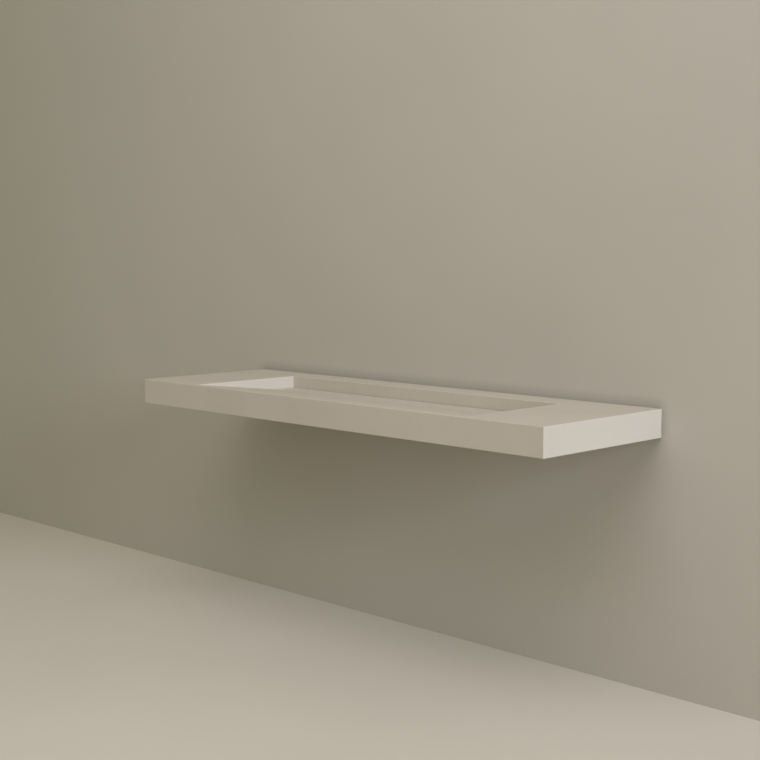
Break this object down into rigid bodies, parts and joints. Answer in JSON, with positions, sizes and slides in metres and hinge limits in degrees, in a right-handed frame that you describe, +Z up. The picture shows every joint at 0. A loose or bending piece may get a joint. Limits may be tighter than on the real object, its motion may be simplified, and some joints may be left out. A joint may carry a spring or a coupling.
{
  "type": "vanity top",
  "caption": "Long wall-hung solid-surface vanity top with a wide ramp basin, a lift-out cover over a hidden drain trough, and concealed steel wall brackets.",
  "frame": {"origin": "on the wall plane, at the middle of the length, level with the deck", "axes": "+X along the wall to the right as seen from in front, +Y into the wall, +Z up"},
  "size_m": [1.8, 0.555, 0.134],
  "materials": {
    "solid_surface": "matte",
    "plywood": "matte",
    "bracket_steel": "satin",
    "screw_steel": "satin",
    "waste_metal": "polished",
    "seal_rubber": "matte",
    "pad_silicone": "satin",
    "cap_plastic": "matte"
  },
  "bodies": {
    "top": {"arm_end_caps": "cap_plastic", "arm_screws": "screw_steel", "back_deck": "solid_surface", "basin_back_wall": "solid_surface", "basin_left_wall": "solid_surface", "basin_ramp": "solid_surface", "basin_right_wall": "solid_surface", "cover_pads": "pad_silicone", "cover_rests": "solid_surface", "front_apron": "solid_surface", "left_deck": "solid_surface", "left_deck_board": "plywood", "left_end_panel": "solid_surface", "left_inner_arm": "bracket_steel", "left_outer_arm": "bracket_steel", "left_wall_plate": "bracket_steel", "ramp_rib_left": "plywood", "ramp_rib_mid_left": "plywood", "ramp_rib_mid_right": "plywood", "ramp_rib_right": "plywood", "rear_rail": "plywood", "right_deck": "solid_surface", "right_deck_board": "plywood", "right_end_panel": "solid_surface", "right_inner_arm": "bracket_steel", "right_outer_arm": "bracket_steel", "right_wall_plate": "bracket_steel", "trough_floor": "solid_surface", "trough_front_wall": "solid_surface", "waste_back_nut": "waste_metal", "waste_bolt": "screw_steel", "waste_grid": "waste_metal", "waste_lower_seal": "seal_rubber", "waste_tail": "waste_metal", "waste_upper_seal": "seal_rubber"},
    "cover": {"drain_cover": "solid_surface"}
  },
  "joints": [
    {"name": "cover_lift", "type": "slide", "parent": "top", "child": "cover", "axis": [0, 0, 1], "range_m": [0, 0.12]}
  ]
}
